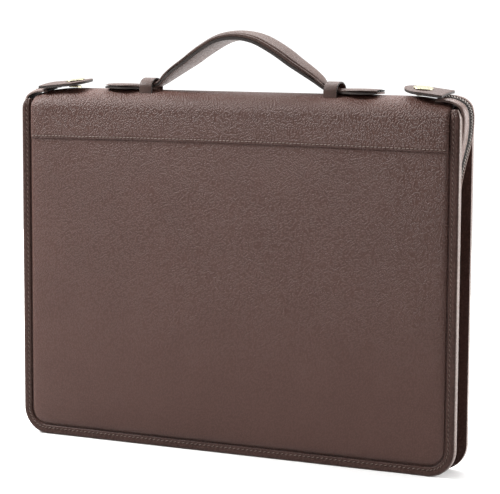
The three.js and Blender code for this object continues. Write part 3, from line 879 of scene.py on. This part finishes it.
def tab_blank(side, inset, length, rise):
    """A tab, cut from flat leather and then bent to lie over the zip's end."""
    radius = tab_width / 2
    blank = bmesh.new()
    bmesh.ops.create_circle(blank, cap_ends=True, radius=radius, segments=64)
    cut = bmesh.ops.bisect_plane(blank, geom=blank.verts[:] + blank.edges[:] + blank.faces[:],
                                 plane_co=(0, 0, 0), plane_no=(1, 0, 0), clear_outer=True)
    straight = [edge for edge in cut["geom_cut"] if isinstance(edge, bmesh.types.BMEdge)]
    pulled = bmesh.ops.extrude_edge_only(blank, edges=straight)["geom"]
    end = [v for v in pulled if isinstance(v, bmesh.types.BMVert)]
    bmesh.ops.translate(blank, vec=(length, 0, 0), verts=end)
    bmesh.ops.dissolve_edges(blank, edges=straight)
    bmesh.ops.solidify(blank, geom=blank.faces[:], thickness=-tab_thickness)
    bmesh.ops.recalc_face_normals(blank, faces=blank.faces)
    rims = [edge for edge in blank.edges if edge.calc_face_angle(0) > 1]
    bmesh.ops.bevel(blank, geom=rims, offset=0.5 * MM, segments=3, affect="EDGES",
                    profile=0.5, material=-1)
    low = min(v.co.z for v in blank.verts)
    bmesh.ops.translate(blank, vec=(0, 0, -low - tab_thickness), verts=blank.verts)
    for axis, reach, cuts in (((1, 0, 0), length, 18), ((0, 1, 0), radius, 12)):
        for i in range(1, cuts):
            spot = Vector(axis) * (-radius + (radius + reach) * i / cuts)
            bmesh.ops.bisect_plane(blank, geom=blank.verts[:] + blank.edges[:] + blank.faces[:],
                                   plane_co=spot, plane_no=axis)
    for face in blank.faces:
        edge_on = abs(face.normal.z) < 0.75
        face.material_index = 1 if edge_on and face.calc_center_median().z < -0.45 * tab_thickness else 0
    for vertex in blank.verts:
        across = vertex.co.y / radius
        vertex.co.z += tab_top_at(length - vertex.co.x, rise) + tab_lean * across - tab_crown * across**2
        vertex.co.x = side * (case_half - inset + vertex.co.x)
    bmesh.ops.recalc_face_normals(blank, faces=blank.faces)
    return blank


for name, side, inset, length, rise in tabs:
    blank = tab_blank(side, inset, length, rise)
    finished_piece(f"tab_{name}_leather", blank, [smooth_leather, edge_paint], "strap_leather",
                   f"tab_{name}", sharp_over=50)

# Press-studs. Caps pressed from sheet brass and rolled over at the rim, polished and left pale;
# the sockets under them are turned brass and hidden between tab and spine.
cap_radius = 7.5 * MM
# Radius as a share of the cap's, and height in millimetres.
cap_profile = [
    (0.0, 0.0), (0.9, 0.0), (1.0, 0.25), (1.0, 0.55), (0.95, 0.85), (0.86, 0.8), (0.82, 0.78),
    (0.55, 1.1), (0.0, 1.28),
]

# Polished brass, faintly tarnished: pale yellow, with soft broad reflections.
polished_brass = mottled_material(
    "polished_pale_brass", 4, 3.0, ("a49e83", "b9b49a"), (0.25, 0.42), metallic=1.0)

for name, side, inset, length, rise in tabs:
    cap = bmesh.new()
    rim = [cap.verts.new((share * cap_radius, 0, height * MM)) for share, height in cap_profile]
    section = [cap.edges.new(pair) for pair in zip(rim, rim[1:])]
    bmesh.ops.spin(cap, geom=rim + section, cent=(0, 0, 0), axis=(0, 0, 1), angle=2 * math.pi,
                   steps=48, use_merge=True)
    bmesh.ops.remove_doubles(cap, verts=cap.verts, dist=0.005 * MM)
    bmesh.ops.recalc_face_normals(cap, faces=cap.faces)
    seat = Vector((side * (case_half - inset), 0, tab_top_at(length, rise) + 0.05 * MM))
    bmesh.ops.transform(cap, verts=cap.verts, matrix=Matrix.Translation(seat)
                        @ Matrix.Rotation(side * rise, 4, "Y")
                        @ Matrix.Rotation(math.atan(2 * tab_lean / tab_width), 4, "X"))
    finished_piece(f"stud_cap_{name}_brass", cap, [polished_brass], "stud", f"stud_cap_{name}",
                   sharp_over=70)
    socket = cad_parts[f"stud_base_{name}"]
    socket.data.materials.clear()
    socket.data.materials.append(polished_brass)

# Carry handle. Two layers of smooth hide glued and sewn together along both edges: the upper one
# is lifted by a core in the hand and thins to a flat paddle at each end, the lower one is flat.
handle_shift = 2.2 * MM
handle_reach = 115 * MM
handle_width = 31 * MM
handle_rise = 40 * MM
handle_skew = 2.3 * MM
paddle_share = 0.62
layer_gap_half = 0.15 * MM
upper_edge = 2.2 * MM
upper_dome = 2.2 * MM
lower_wall = 2.5 * MM
handle_foot = spine_top + seat_gap + lower_wall * paddle_share + layer_gap_half
strap_step = 1.5 * MM
edge_rounding = 1.1 * MM
groove_depth = 1 * MM
groove_width = 0.5 * MM
handle_stitch = 3.3 * MM
handle_stitch_inset = 2.5 * MM
# From the middle to a paddle's tip: shares along, up, of the width and thickness, and of the skew.
handle_half = [
    (0.0, 1.0, 1.0, 1.0, 0.0), (0.085, 0.978, 1.0, 1.0, 0.2), (0.157, 0.922, 0.99, 1.0, 0.4),
    (0.235, 0.815, 0.97, 1.0, 0.7), (0.32, 0.672, 0.93, 1.0, 0.9), (0.4, 0.516, 0.88, 0.97, 1.0),
    (0.487, 0.358, 0.8, 0.9, 1.0), (0.56, 0.212, 0.64, 0.78, 1.0), (0.6, 0.106, 0.44, 0.64, 0.7),
    (0.635, 0.043, 0.39, 0.58, 0.3), (0.69, 0.012, 0.4, 0.58, 0.0), (0.735, 0.0, 0.45, 0.58, 0.0),
    (0.78, 0.0, 0.62, 0.6, 0.0), (0.83, 0.0, 0.76, 0.62, 0.0), (0.9, 0.0, 0.75, 0.62, 0.0),
    (0.97, 0.0, 0.62, 0.58, 0.0), (1.0, 0.0, 0.5, 0.52, 0.0),
]


def handle_row(side, along, rise, width, full, skew):
    """One station of the handle in metres, on its left or right side."""
    x = handle_shift + side * along * handle_reach + (skew * handle_skew if side < 0 else 0)
    return (x, handle_foot + rise * handle_rise, width * handle_width / 2, full)


handle_rows = [handle_row(-1, *row) for row in reversed(handle_half[1:])]
handle_rows += [handle_row(1, *row) for row in handle_half]
strap = even_line(smooth_line(handle_rows, 6), strap_step)


def strap_point(way, inset_share, height):
    """A point of the strap: inset_share runs from -1 at its front edge to 1 at its back edge."""
    at = min(int(way), len(strap) - 2)
    (here, out), (there, next_out) = strap[at], strap[at + 1]
    row = here.lerp(there, way - at)
    up = out.lerp(next_out, way - at).normalized()
    return Vector((row[0], inset_share * row[2], row[1])) + up * height, row


def upper_height(half, full, share):
    """Height of the upper layer's top over its underside, across the strap."""
    inset = half * (1 - abs(share))
    lip = upper_edge * full * (0.55 + 0.45 * math.sqrt(1 - (1 - min(1, inset / edge_rounding)) ** 2))
    groove = groove_depth * full * math.exp(-(((inset - handle_stitch_inset) / groove_width) ** 2))
    core = max(0, 1 - (half - inset) ** 2 / max(0.1 * MM, half - 2 * MM) ** 2)
    return lip - groove + upper_dome * full**2 * core**0.7


def upper_point(u, v):
    """A point of the upper layer: three quarters of v go over its top, the rest under it."""
    way = u * (len(strap) - 1)
    half, full = strap_point(way, 0, 0)[1][2:4]
    if v <= 0.75:
        share = 2 * crowded(v / 0.75) - 1
        return strap_point(way, share, layer_gap_half + upper_height(half, full, share))[0]
    return strap_point(way, 1 - 2 * (v - 0.75) / 0.25, layer_gap_half)[0]


def lower_point(u, v):
    """A point of the lower layer, flat with its edges rounded."""
    corner = [(-1, 0), (-0.97, 0), (0.97, 0), (1, 0), (1, 0.75), (0.985, 0.93), (0.95, 1), (0, 1),
              (-0.95, 1), (-0.985, 0.93), (-1, 0.75), (-1, 0.3)]
    share, depth = corner[round(v * len(corner)) % len(corner)]
    way = u * (len(strap) - 1)
    full = strap_point(way, 0, 0)[1][3]
    return strap_point(way, share, -layer_gap_half - depth * lower_wall * full)[0]


upper = close_solid(bent_sheet(len(strap) - 1, 80, upper_point))
lower = close_solid(bent_sheet(len(strap) - 1, 12, lower_point))
for face in lower.faces:
    face.material_index = 1 if abs(face.normal.y) > 0.5 else 0
finished_piece("handle_upper_leather", upper, [smooth_leather], "strap_leather", "handle_upper")
finished_piece("handle_lower_leather", lower, [smooth_leather, edge_paint], "strap_leather",
               "handle_lower")

handle_stitches = []
strap_length = (len(strap) - 1) * strap_step
for side in (-1, 1):
    for i in range(round((strap_length - 8 * MM) / handle_stitch)):
        way = (4 * MM + (i + 0.5) * handle_stitch) / strap_step
        half, full = strap_point(way, 0, 0)[1][2:4]
        share = side * (1 - handle_stitch_inset / half)
        height = 0.2 * MM + upper_height(half, full, share)
        here, there = strap_point(way, share, height)[0], strap_point(way + 0.3, share, height)[0]
        handle_stitches.append((here, there - here, strap_point(way, share, height + MM)[0] - here))
sewn("handle_stitches", handle_stitches, 0.74 * handle_stitch, 0, dark_thread, width=0.5 * MM)

# Keepers. Two loops of thin smooth hide with painted edges, sewn to the spine, which the
# handle's necks slide through.
keeper_width = 19.5 * MM
keeper_length = 11 * MM
keeper_wall = 1.3 * MM
keeper_top = spine_top + 9.2 * MM
keeper_spring = keeper_top - 0.375 * keeper_width
# Round the loop's wall: along the strap as a share of half its length, and through the wall.
keeper_section = [
    (-1, 0.3), (-1, 0.7), (-0.95, 0.95), (-0.88, 1), (0.88, 1), (0.95, 0.95), (1, 0.7), (1, 0.3),
    (0.95, 0.05), (0.88, 0), (-0.88, 0), (-0.95, 0.05),
]


def spine_surface_at(y):
    """Height of the spine leather's surface, where it hasn't sunk."""
    shoulder = binding_face + panel_proud + wrap_step
    return shoulder_base + (spine_top - shoulder_base) * math.sqrt(1 - (y / shoulder) ** 2)


for name in ("keeper_left", "keeper_right"):
    keeper_low, keeper_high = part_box(name)
    keeper_x = (keeper_low.x + keeper_high.x) / 2

    def keeper_point(u, v, keeper_x=keeper_x):
        along, through = keeper_section[round(v * len(keeper_section)) % len(keeper_section)]
        radius = keeper_width / 2 - keeper_wall * (1 - through)
        rise = keeper_top - keeper_spring - keeper_wall * (1 - through)
        x = keeper_x + along * keeper_length / 2
        if 0.15 <= u <= 0.85:
            angle = math.pi * (u - 0.15) / 0.7
            return Vector((x, -radius * math.cos(angle), keeper_spring + rise * math.sin(angle)))
        side = -1 if u < 0.5 else 1
        foot = spine_surface_at(radius) + 0.05 * MM
        return Vector((x, side * radius, foot + (keeper_spring - foot) * min(u, 1 - u) / 0.15))

    loop = close_solid(bent_sheet(60, len(keeper_section), keeper_point))
    for face in loop.faces:
        face.material_index = 1 if abs(face.normal.x) > 0.5 else 0
    finished_piece(f"{name}_leather", loop, [smooth_leather, edge_paint], "strap_leather", name)
